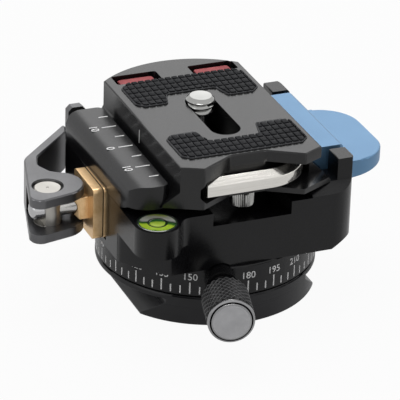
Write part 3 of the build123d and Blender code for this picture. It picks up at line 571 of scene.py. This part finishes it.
# Painted light in the fluid: the dark green band is painted shade, and the pale grey and yellow
# crescents at the far wall are painted reflections.
level_fluid = fluid("level_fluid", (
    (0.02, (0.2, 0.45, 0.04)),
    (0.1, (0.52, 0.78, 0.06)),
    (0.4, (0.5, 0.72, 0.05)),
    (0.47, (0.06, 0.2, 0.03)),
    (0.55, (0.03, 0.07, 0.03)),
    (0.66, (0.62, 0.64, 0.58)),
    (0.82, (0.66, 0.68, 0.55)),
    (0.9, (0.55, 0.62, 0.16)),
    (0.98, (0.4, 0.5, 0.1)),
))
# Bubble with painted light and shade: lighter on its near side, dark green on its far side.
level_air = fluid("level_air", (
    (0.3, (0.45, 0.6, 0.1)),
    (0.44, (0.55, 0.72, 0.1)),
    (0.5, (0.4, 0.62, 0.06)),
    (0.55, (0.03, 0.16, 0.04)),
    (0.64, (0.05, 0.2, 0.06)),
    (0.72, (0.1, 0.3, 0.1)),
))


def coat_with(piece, material):
    """Give a piece one material and no other."""
    piece.data.materials.clear()
    piece.data.materials.append(material)


for material, node_names in (
    (base_black, ["base_disc"]),
    (ring_black, ["scale_ring"]),
    (body_black, ["clamp_body", "knob_boss"]),
    (jaw_black, ["sliding_jaw"]),
    (plate_grey, ["quick_plate"]),
    (inner_alloy, ["pan_hub"]),
    (jaw_blue, ["release_jaw"]),
    (lever_grey, ["cam_lever"]),
    (knob_grey, ["knob_grip"]),
    (cap_grey, ["knob_cap"]),
    (brass, ["pressure_plate", "brake_shoe"]),
    (bright_steel, ["thread_insert", "knob_stud", "draw_bar", "release_pin"]),
    (barrel_steel, ["pivot_barrel"]),
    (bolt_steel, ["base_screws", "ring_screws", "stop_screws", "screw_washer", "camera_screw"]),
    (spring_steel, ["release_spring", "jaw_spring"]),
    (key_steel, ["hex_key"]),
    (chrome, ["draw_nut"]),
    (magnet_nickel, ["key_magnet"]),
    (slip_plastic, ["lower_slip_ring", "upper_slip_ring"]),
    (cup_black, ["level_cup"]),
    (level_fluid, ["level_vial"]),
    (pad_rubber, ["front_pad", "back_pad"]),
    (red_rubber, ["left_red_pad", "right_red_pad"]),
):
    for node_name in node_names:
        coat_with(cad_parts[node_name], material)


def add_to_body(piece, body, material):
    """Give a finished piece its material and body."""
    coat_with(piece, material)
    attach(piece, body)


# ---- Machined pieces and cutters


def merged_copy(node_name, name):
    """Copy of a CAD node as one clean shell, to be shaped further."""
    piece = bpy.data.objects.new(name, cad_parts[node_name].data.copy())
    bpy.context.scene.collection.objects.link(piece)
    piece.data.materials.clear()
    begin_shaping(piece)
    bpy.ops.mesh.select_all(action="SELECT")
    bpy.ops.mesh.remove_doubles(threshold=weld_gap * MM)
    bpy.ops.mesh.dissolve_limited(angle_limit=math.radians(merge_angle))
    end_shaping()
    return piece


def edged(node_name, body, material, width, edge_material=None):
    """Stand-in for a machined piece, with its sharp edges rounded a little."""
    piece = merged_copy(node_name, node_name + "_edged")
    coat_with(piece, material)
    bevel = piece.modifiers.new("edges", "BEVEL")
    bevel.limit_method = "ANGLE"
    bevel.angle_limit = math.radians(edge_angle)
    bevel.width = width * MM
    bevel.segments = 2
    if edge_material:
        piece.data.materials.append(edge_material)
        bevel.material = 1
    finish_modifiers(piece)
    soften(piece, 30)
    even = piece.modifiers.new("even_faces", "WEIGHTED_NORMAL")
    even.keep_sharp = True
    finish_modifiers(piece)
    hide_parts(node_name)
    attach(piece, body)
    return piece


def cut_away(piece, tool, how="DIFFERENCE"):
    """Cut a closed tool out of a piece, or keep only what both share."""
    cut = piece.modifiers.new("cut", "BOOLEAN")
    cut.operation = how
    cut.solver = "EXACT"
    cut.object = tool
    finish_modifiers(piece)
    drop(tool)


def lathed(outline, steps, name, x=0.0, y=0.0):
    """Spin a half outline of (radius, height) points about a vertical axis, closed at both ends."""
    radius, height = outline[0]
    bpy.ops.mesh.primitive_circle_add(vertices=steps, radius=radius * MM, fill_type="NGON",
                                      location=(x * MM, y * MM, height * MM))
    piece = settle(bpy.context.object)
    piece.name = name
    begin_shaping(piece)
    bpy.ops.mesh.select_all(action="SELECT")
    raised(bpy.ops.mesh.extrude_region_move, outline, x, y)
    turn_faces_out()
    end_shaping()
    return piece


def thread_cutter(root_r, crest_r, pitch, z0, z1, x=0.0, y=0.0):
    """Helical wedge that cuts a thread's groove from the crest down to the root."""
    mouth_r = crest_r + (cutter_overlap if crest_r > root_r else -cutter_overlap)
    corners = ((root_r, 0), (mouth_r, pitch / 2), (mouth_r, -pitch / 2))
    bpy.ops.mesh.primitive_circle_add(vertices=3, radius=MM, fill_type="NOTHING")
    wedge = bpy.context.object
    for point, (radius, height) in zip(wedge.data.vertices, corners):
        point.co = Vector((radius * MM, 0, (z0 + height) * MM))
    coil = wedge.modifiers.new("coil", "SCREW")
    coil.axis = "Z"
    coil.screw_offset = pitch * cutter_share * MM
    coil.iterations = int((z1 - z0) / pitch) + 1
    coil.steps = cutter_steps
    coil.render_steps = cutter_steps
    coil.use_merge_vertices = False
    finish_modifiers(wedge)
    begin_shaping(wedge)
    bpy.ops.mesh.select_all(action="SELECT")
    bpy.ops.mesh.fill_holes(sides=4)
    turn_faces_out()
    end_shaping()
    wedge.data.transform(Matrix.Translation((x * MM, y * MM, 0)))
    return wedge


# ---- White marks


def tick(length):
    """A painted line: rounded ends, standing on z = 0 in the XZ plane, facing -Y."""
    bpy.ops.mesh.primitive_cube_add(size=1)
    line = bpy.context.object
    line.scale = (mark_width * MM, (mark_proud + mark_sunk) * MM, length * MM)
    line.location = (0, (mark_sunk - mark_proud) / 2 * MM, length / 2 * MM)
    settle(line)
    begin_shaping(line)
    pick_edges(line, lambda a, b: abs(a.y - b.y) > mark_proud)
    bpy.ops.mesh.bevel(offset=mark_width * 0.4 * MM, segments=2)
    end_shaping()
    return line


def number(text, size):
    """Number as a mesh, centred, standing in the XZ plane and facing -Y."""
    bpy.ops.object.text_add()
    made = bpy.context.object
    made.data.body = text
    made.data.size = size * MM
    made.data.extrude = (mark_proud + mark_sunk) / 2 * MM
    made.data.offset = digit_weight * MM
    made.data.resolution_u = 3
    made.data.align_x = "CENTER"
    made.data.align_y = "CENTER"
    take(made)
    bpy.ops.object.convert(target="MESH")
    made = bpy.context.object
    made.rotation_euler = (quarter_turn, 0, 0)
    made.location = (0, (mark_sunk - mark_proud) / 2 * MM, 0)
    return settle(made)


def wrapped(piece, angle, z):
    """Bend a flat mark round the ring's side and turn it to its angle."""
    for point in piece.data.vertices:
        across = point.co.x / (ring_r * MM) + math.radians(angle)
        out = ring_r * MM - point.co.y
        point.co = Vector((out * math.cos(across), out * math.sin(across), point.co.z + z * MM))
    return piece


def make_ring_scale():
    """A line every 5 degrees, and every 15 a longer one with its number."""
    marks = []
    long_line = tick(ring_scale_long - ring_scale_foot)
    short_line = tick(ring_scale_short - ring_scale_foot)
    for degree in range(0, 360, 5):
        angle = degree + ring_zero_angle
        numbered = degree % 15 == 0
        line = moved_copy(long_line if numbered else short_line, Matrix.Identity(4))
        marks.append(wrapped(line, angle, ring_scale_foot))
        if numbered:
            marks.append(wrapped(number(str(degree), ring_number_size), angle, ring_number_z))
    drop(long_line)
    drop(short_line)
    scale = joined(marks, "ring_scale_marks")
    add_to_body(scale, "clamp", mark_white)


def laid(piece, x, y):
    """Lay a standing mark on the sliding jaw's top, its foot outward."""
    place = Matrix.Translation((x * MM, y * MM, jaw_top * MM))
    place = place @ Matrix.Rotation(-quarter_turn, 4, "Z")
    piece.data.transform(place @ Matrix.Rotation(-quarter_turn, 4, "X"))
    return piece


def make_jaw_scale():
    """Lines 10 - 0 - 10 with a shorter one between, every 5 mm."""
    marks = []
    for y in range(-15, 16, 5):
        numbered = y % 10 == 0
        start = jaw_long_start if numbered else jaw_short_start
        marks.append(laid(tick(jaw_line_end - start), start, y))
        if numbered:
            marks.append(laid(number(str(abs(y)), jaw_number_size), jaw_number_x, y))
    add_to_body(joined(marks, "jaw_scale_marks"), "jaw", mark_white)


def make_plate_mark():
    """Index line on the plate's left side, above the jaw's scale."""
    line = tick(plate_line_h)
    foot = Matrix.Translation((plate_side_x * MM, plate_line_y * MM, plate_line_foot * MM))
    line.data.transform(foot @ Matrix.Rotation(-quarter_turn, 4, "Z"))
    line.name = "plate_index_mark"
    add_to_body(line, "plate", mark_white)


# ---- Rubber pads with square studs


def pad_stud():
    """One stud: a tapered block with its top edges rounded."""
    block_h = stud_h + stud_foot
    bpy.ops.mesh.primitive_cube_add(size=1)
    stud = bpy.context.object
    stud.scale = (stud_size_x * MM, stud_size_y * MM, block_h * MM)
    stud.location = (0, 0, (pad_top - block_h / 2) * MM)
    settle(stud)
    begin_shaping(stud)
    pick_faces(stud, lambda centre, normal: normal.z > 0.5)
    bpy.ops.transform.resize(value=stud_taper)
    pick_edges(stud, lambda a, b: min(a.z, b.z) > pad_top - 0.01 or abs(a.z - b.z) > stud_foot)
    bpy.ops.mesh.bevel(offset=stud_round * MM, segments=2)
    end_shaping()
    return stud


def make_pad(node_name, rows):
    """Pad with its top sunk to a thin slab, and a field of studs cut to its outline."""
    slab = merged_copy(node_name, node_name + "_slab")
    whole = merged_copy(node_name, node_name + "_whole")
    begin_shaping(whole)
    for up in (1, -1):
        pick_faces(whole, lambda centre, normal: normal.z * up > 0.5)
        bpy.ops.transform.translate(value=(0, 0, up * MM))
    end_shaping()
    begin_shaping(slab)
    pick_faces(slab, lambda centre, normal: normal.z > 0.5)
    bpy.ops.transform.translate(value=(0, 0, -stud_h * MM))
    bpy.ops.mesh.inset(thickness=groove_inset * MM)
    bpy.ops.transform.translate(value=(0, 0, groove_crown * MM))
    end_shaping()
    stud = pad_stud()
    studs = []
    for column in stud_columns:
        for y in rows:
            place = ((stud_x + column * stud_pitch_x) * MM, y * MM, 0)
            studs.append(moved_copy(stud, Matrix.Translation(place)))
    drop(stud)
    field = joined(studs, node_name + "_field")
    for x, y in ((pad_border, 0), (-pad_border, 0), (0, pad_border)):
        shifted = moved_copy(whole, Matrix.Translation((x * MM, y * MM, 0)))
        cut_away(field, shifted, "INTERSECT")
    cut_away(field, whole, "INTERSECT")
    pad = joined([slab, field], node_name + "_studded")
    soften(pad, 40)
    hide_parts(node_name)
    add_to_body(pad, "plate", pad_rubber)


# ---- Knurled knob

spoke = math.radians(knob_angle)
spoke_out = Vector((math.sin(spoke), -math.cos(spoke), 0))
spoke_side = Vector((0, 0, 1)).cross(spoke_out)
spoke_place = Matrix((
    (spoke_side.x, 0, spoke_out.x, 0),
    (spoke_side.y, 0, spoke_out.y, 0),
    (0, 1, 0, knob_z * MM),
    (0, 0, 0, 1),
))


def make_knob_grip():
    """Grip with a diamond knurl between two rims, made upright and laid along its spoke."""
    valley_r = grip_r - knurl_depth
    knurl_low = grip_start + grip_rim
    knurl_high = grip_end - grip_rim
    step = 2 * math.pi / knurl_steps
    rise = (knurl_high - knurl_low) / knurl_rows
    bpy.ops.mesh.primitive_cylinder_add(
        vertices=knurl_steps, radius=valley_r * MM, depth=(knurl_high - knurl_low) * MM,
        location=(0, 0, (knurl_low + knurl_high) / 2 * MM), end_fill_type="NOTHING")
    grip = settle(bpy.context.object)
    grip.name = "knob_grip_knurled"
    begin_shaping(grip)
    pick_edges(grip, lambda a, b: abs(a.z - b.z) > grip_rim)
    bpy.ops.mesh.subdivide(number_cuts=knurl_rows - 1)

    def on_ridge(point):
        column = round(math.atan2(point.y, point.x) / step)
        row = round((point.z - knurl_low) / rise)
        return (column + row) % 2 == 0 and 0 < row < knurl_rows

    pick_points(grip, on_ridge)
    widen(grip_r / valley_r)
    mesh = bmesh.from_edit_mesh(grip.data)
    for face in list(mesh.faces):
        ridge = [point for point in face.verts
                 if math.hypot(point.co.x, point.co.y) > (grip_r - 0.1) * MM]
        if len(face.verts) == 4 and len(ridge) == 2:
            bmesh.utils.face_split(face, *ridge)
    bmesh.update_edit_mesh(grip.data)

    seat_z = grip_end - cap_seat_d
    front_end = (
        (valley_r, knurl_high), (grip_r - 0.04, knurl_high + 0.08),
        (grip_r - 0.08, grip_end - 0.22), (cap_seat_r + 0.3, grip_end),
        (cap_seat_r + 0.22, grip_end), (cap_seat_r + 0.16, grip_end - 0.4),
        (cap_seat_r, grip_end - 0.5), (cap_seat_r, seat_z), (knob_bore_r, seat_z),
    )
    back_end = (
        (valley_r, knurl_low), (grip_r - grip_rim, grip_start),
        (knob_bore_r, grip_start), (knob_bore_r, grip_start + knob_bore_d),
    )
    for outline in (front_end, back_end):
        pick_points(grip, lambda point: abs(point.z - outline[0][1]) < 0.01)
        raised(bpy.ops.mesh.extrude_edges_move, outline)
        bpy.ops.mesh.edge_face_add()
    turn_faces_out()
    end_shaping()
    grip.data.transform(spoke_place)
    soften(grip, 12)
    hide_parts("knob_grip")
    add_to_body(grip, "knob", knob_grey)
    grip.data.materials.append(rim_grey)
    to_upright = spoke_place.inverted()
    for face in grip.data.polygons:
        place = to_upright @ face.center / MM
        if place.z > knurl_high and math.hypot(place.x, place.y) > cap_seat_r + 0.2:
            face.material_index = 1


# ---- Round level


def make_level():
    """Vial of fluid with its rim of glass, the black circle and the bubble."""
    place = (level_x, level_y)
    top = [(vial_r - inward, level_z + up) for inward, up in vial_outline]
    vial = lathed([(vial_r, vial_bottom), *top], level_steps, "level_vial_fluid", *place)
    soften(vial, 50)
    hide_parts("level_vial")
    add_to_body(vial, "clamp", level_fluid)

    glass = [(vial_r - inward, level_z + up) for inward, up in rim_outline]
    rim = lathed(glass, level_steps, "level_rim_outside", *place)
    hole_r = vial_r - rim_hole_inset
    hole = lathed([(hole_r, level_z - 1), (hole_r, level_z + 1)],
                  level_steps, "level_rim_hole", *place)
    cut_away(rim, hole)
    rim.name = "level_rim"
    soften(rim, 50)
    add_to_body(rim, "clamp", level_glass)

    bpy.ops.mesh.primitive_torus_add(
        major_segments=level_steps, minor_segments=8,
        major_radius=circle_r * MM, minor_radius=circle_thick * MM,
        location=(level_x * MM, level_y * MM, (level_z - circle_sunk) * MM))
    circle = bpy.context.object
    circle.name = "level_circle"
    circle.scale = (1, 1, circle_flat)
    settle(circle)
    soften(circle, 60)
    add_to_body(circle, "clamp", cup_black)

    middle = (level_x, level_y, level_z)
    bpy.ops.mesh.primitive_uv_sphere_add(
        segments=40, ring_count=20, radius=bubble_r * MM,
        location=[(at + shift) * MM for at, shift in zip(middle, bubble_shift)])
    bubble = bpy.context.object
    bubble.name = "level_bubble"
    bubble.scale = (1, 1, bubble_flat)
    settle(bubble)
    soften(bubble, 60)
    add_to_body(bubble, "clamp", level_air)


# ---- Screws, nut and barrel


def make_camera_screw():
    """Camera screw with its 1/4 inch thread and a pointed tip."""
    whole = merged_copy("camera_screw", "camera_screw_threaded")
    cut_away(whole, thread_cutter(thread_root_r, thread_r, thread_pitch, thread_low,
                                  screw_top - screw_thread_end, plate_x, screw_y))
    shoulder = screw_top - screw_chamfer
    pointed = lathed([(screw_clear_r, 0), (screw_clear_r, shoulder - 0.05),
                      (thread_r + 0.1, shoulder), (screw_tip_r, screw_top + 0.02)],
                     64, "screw_point", plate_x, screw_y)
    cut_away(whole, pointed, "INTERSECT")
    soften(whole, 30)
    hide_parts("camera_screw")
    add_to_body(whole, "screw", bolt_steel)


def make_insert():
    """Threaded insert of the base with its 3/8 inch thread."""
    insert = merged_copy("thread_insert", "thread_insert_threaded")
    cut_away(insert, thread_cutter(insert_root_r, insert_bore_r, insert_pitch,
                                   -insert_overrun, insert_top + insert_overrun))
    soften(insert, 30)
    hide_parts("thread_insert")
    add_to_body(insert, "base", bright_steel)


def make_draw_nut():
    """Domed nut on the end of the draw bar, its dome towards -X."""
    low, high = (Vector(corner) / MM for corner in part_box("draw_nut"))
    middle = (low + high) / 2
    length = high.x - low.x
    dome = [(nut_r * share, length - below) for share, below in nut_dome]
    nut = lathed([(nut_r, 0), *dome, (nut_tip_r, length)], 40, "draw_nut_domed")
    place = Matrix.Translation((high.x * MM, middle.y * MM, middle.z * MM))
    nut.data.transform(place @ Matrix.Rotation(-quarter_turn, 4, "Y"))
    soften(nut, 40)
    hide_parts("draw_nut")
    add_to_body(nut, "clamp", chrome)


def make_barrel():
    """Pivot barrel, its head raised, with the lathe's centre mark in the top."""
    barrel = edged("pivot_barrel", "clamp", barrel_steel, 0.15)
    low, high = (Vector(corner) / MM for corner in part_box("pivot_barrel"))
    middle = (low + high) / 2
    for point in barrel.data.vertices:
        if point.co.z > (high.z - barrel_head_h) * MM:
            point.co.z += barrel_lift * MM
            for axis in (0, 1):
                off = point.co[axis] / MM - middle[axis]
                point.co[axis] = (middle[axis] + off * barrel_spread) * MM
    top = high.z + barrel_lift
    mark = lathed([(centre_mark_r, top + 0.05), (0.03, top - centre_mark_d)],
                  16, "centre_mark", middle.x, middle.y)
    cut_away(barrel, mark)


def make_stop_screws():
    """Knurled heads on their shanks, both alike, turned about their own axes."""
    source = merged_copy("stop_screws", "stop_screws_source")
    x = plate_x * MM
    step = 2 * math.pi / stop_knurl_steps
    knurl_h = stop_head_h - stop_chamfer_low - stop_chamfer_high
    parts = []
    for at in (stop_front_y, stop_back_y):
        y = at * MM
        heights = [point.co.z / MM for point in source.data.vertices
                   if abs(point.co.y / MM - at) < 2 * stop_head_r]
        bottom, top = min(heights), max(heights)
        bpy.ops.mesh.primitive_cylinder_add(
            vertices=stop_knurl_steps, radius=stop_head_r * MM, depth=knurl_h * MM,
            location=(x, y, (bottom + stop_chamfer_low + knurl_h / 2) * MM))
        head = settle(bpy.context.object)
        begin_shaping(head)
        mesh = bmesh.from_edit_mesh(head.data)
        for point in mesh.verts:
            if round(math.atan2(point.co.y - y, point.co.x - x) / step) % 2:
                point.co.x = x + (point.co.x - x) * stop_knurl_valley
                point.co.y = y + (point.co.y - y) * stop_knurl_valley
        bmesh.update_edit_mesh(head.data)
        for up, height, factor in ((1, stop_chamfer_high, 0.9), (-1, -stop_chamfer_low, 0.8)):
            pick_faces(head, lambda centre, normal: normal.z * up > 0.9)
            bpy.ops.mesh.extrude_region_move(
                TRANSFORM_OT_translate={"value": (0, 0, height * MM)})
            widen(factor, plate_x, at)
        end_shaping()
        shank = lathed([(stop_shank_r, bottom + stop_head_h - 0.1), (stop_shank_r, top)],
                       32, "stop_shank", plate_x, at)
        parts += [head, shank]
    drop(source)
    screws = joined(parts, "stop_screws_knurled")
    soften(screws, 25)
    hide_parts("stop_screws")
    add_to_body(screws, "plate", bolt_steel)


for node_name, body, material, slot_name, width in (
    ("clamp_body", "clamp", body_black, "body_black", 0.12),
    ("scale_ring", "clamp", ring_black, "ring_black", 0.1),
    ("base_disc", "base", base_black, "base_black", 0.12),
    ("sliding_jaw", "jaw", jaw_black, "jaw_black", 0.1),
    ("release_jaw", "release", jaw_blue, "jaw_blue", 0.15),
    ("cam_lever", "lever", lever_grey, "lever_grey", 0.15),
    ("hex_key", "key", key_steel, "key_steel", 0.12),
    ("left_red_pad", "plate", red_rubber, "red_rubber", 0.2),
    ("right_red_pad", "plate", red_rubber, "red_rubber", 0.2),
):
    edged(node_name, body, material, width)
# The plate's rounded edges take the darker finish, painted shade.
edged("quick_plate", "plate", plate_grey, 0.14, plate_edge_painted_shade)
edged("knob_cap", "knob", cap_grey, 0.45, rim_grey)
plate_of_brass = edged("pressure_plate", "jaw", brass, 0.08)
plate_of_brass.data.materials.append(seam_painted_shade)
# Faces inside the seam get the dark finish, painted shade.
for face in plate_of_brass.data.polygons:
    if brass_seam_x < face.center.x / MM < brass_seam_x + brass_seam:
        face.material_index = 1

make_ring_scale()
make_jaw_scale()
make_plate_mark()
make_pad("front_pad", front_rows)
make_pad("back_pad", back_rows)
make_knob_grip()
make_level()
make_camera_screw()
make_insert()
make_draw_nut()
make_barrel()
make_stop_screws()


# ---- Floor, light and camera

white = (1, 1, 1, 1)
floor_grey = (0.55, 0.55, 0.55, 1)
floor_size = 6
floor_drop = 0.00002
floor_white_share = 0.95
floor_gloss_share = 0.6
room_strength = 0.33
lamp_aim = Vector((0, 0, 0.02))

# The camera as it was solved from the photo: degrees, pixels and metres
camera_azimuth = -22.98
camera_elevation = 27.71
camera_roll = 1.89
camera_focal = 3034.0
camera_centre = (205.1, 244.7)
camera_place = (-0.22736, -0.53612, 0.31248)
photo_size = 400
sensor_size = 36


def white_where_seen(tree, shaded, white_kind, white_share, gloss_share):
    """Mix plain white over a shaded surface for rays from the camera, gloss and glass."""
    paths = tree.nodes.new("ShaderNodeLightPath").outputs
    gloss = combined(tree, "MULTIPLY", paths["Is Glossy Ray"], gloss_share)
    seen = combined(tree, "MAXIMUM", paths["Is Camera Ray"], gloss)
    seen = combined(tree, "MAXIMUM", seen, paths["Is Transmission Ray"])
    share = combined(tree, "MULTIPLY", seen, white_share)
    plain = tree.nodes.new(white_kind)
    plain.inputs["Color"].default_value = white
    plain.inputs["Strength"].default_value = 1.0
    mix = tree.nodes.new("ShaderNodeMixShader")
    tree.links.new(share, mix.inputs["Fac"])
    tree.links.new(shaded.outputs[0], mix.inputs[1])
    tree.links.new(plain.outputs[0], mix.inputs[2])
    return mix.outputs["Shader"]


def make_floor():
    """Floor just under the clamp, white to the eye and grey to the light."""
    bpy.ops.mesh.primitive_plane_add(size=floor_size, location=(0, 0, -floor_drop))
    floor = bpy.context.object
    floor.name = "studio_floor"
    made = Finish("studio_floor")
    made.socket(colour=floor_grey, roughness=0.9)
    seen = white_where_seen(made.tree, made.shader, "ShaderNodeEmission",
                            floor_white_share, floor_gloss_share)
    made.link(seen, made.tree.nodes["Material Output"].inputs["Surface"])
    coat_with(floor, made.material)


def make_world():
    """White room that lights the clamp only softly."""
    world = bpy.data.worlds.new("studio")
    bpy.context.scene.world = world
    world.use_nodes = True
    tree = world.node_tree
    air = tree.nodes["Background"]
    air.inputs["Color"].default_value = white
    air.inputs["Strength"].default_value = room_strength
    seen = white_where_seen(tree, air, "ShaderNodeBackground", 1.0, 1.0)
    tree.links.new(seen, tree.nodes["World Output"].inputs["Surface"])


def softbox(name, place, size, power):
    """Rectangular lamp that looks at the clamp."""
    bpy.ops.object.light_add(type="AREA", location=place)
    lamp = bpy.context.object
    lamp.name = name
    lamp.data.shape = "RECTANGLE"
    lamp.data.size, lamp.data.size_y = size
    lamp.data.energy = power
    lamp.rotation_mode = "QUATERNION"
    lamp.rotation_quaternion = (lamp_aim - Vector(place)).to_track_quat("-Z", "Y")


def make_camera():
    """The photo's camera; its off-centre picture is reached by aiming, without a shift."""
    azimuth, elevation, roll = (
        math.radians(v) for v in (camera_azimuth, camera_elevation, camera_roll))
    back = Vector((math.sin(azimuth) * math.cos(elevation),
                   -math.cos(azimuth) * math.cos(elevation), math.sin(elevation)))
    right = Vector((math.cos(azimuth), math.sin(azimuth), 0))
    up = back.cross(right)
    tilted = right * math.cos(roll) + up * math.sin(roll)
    tilted_up = back.cross(tilted)
    centre_x, centre_y = camera_centre
    aim = (back * camera_focal - tilted * (photo_size / 2 - centre_x)
           - tilted_up * (centre_y - photo_size / 2))
    back = aim.normalized()
    side = tilted_up.cross(back).normalized()
    top = back.cross(side)
    bpy.ops.object.camera_add()
    camera = bpy.context.object
    camera.name = "camera"
    camera.matrix_world = Matrix((
        *zip(side, top, back, camera_place),
        (0, 0, 0, 1),
    ))
    camera.data.sensor_width = sensor_size
    camera.data.lens = camera_focal / photo_size * sensor_size
    camera.data.clip_start = 0.01
    camera.data.clip_end = 20
    bpy.context.scene.camera = camera


make_floor()
make_world()
softbox("top_light", (0.0, 0.3, 0.8), (0.7, 0.5), 4.3)
softbox("back_light", (0.36, 0.85, 0.5), (0.7, 0.3), 0.65)
softbox("left_light", (-0.75, -0.15, 0.35), (0.4, 0.4), 0.5)
softbox("right_light", (0.75, -0.35, 0.3), (0.3, 0.3), 0.35)
make_camera()
bpy.context.scene.view_settings.view_transform = "Standard"
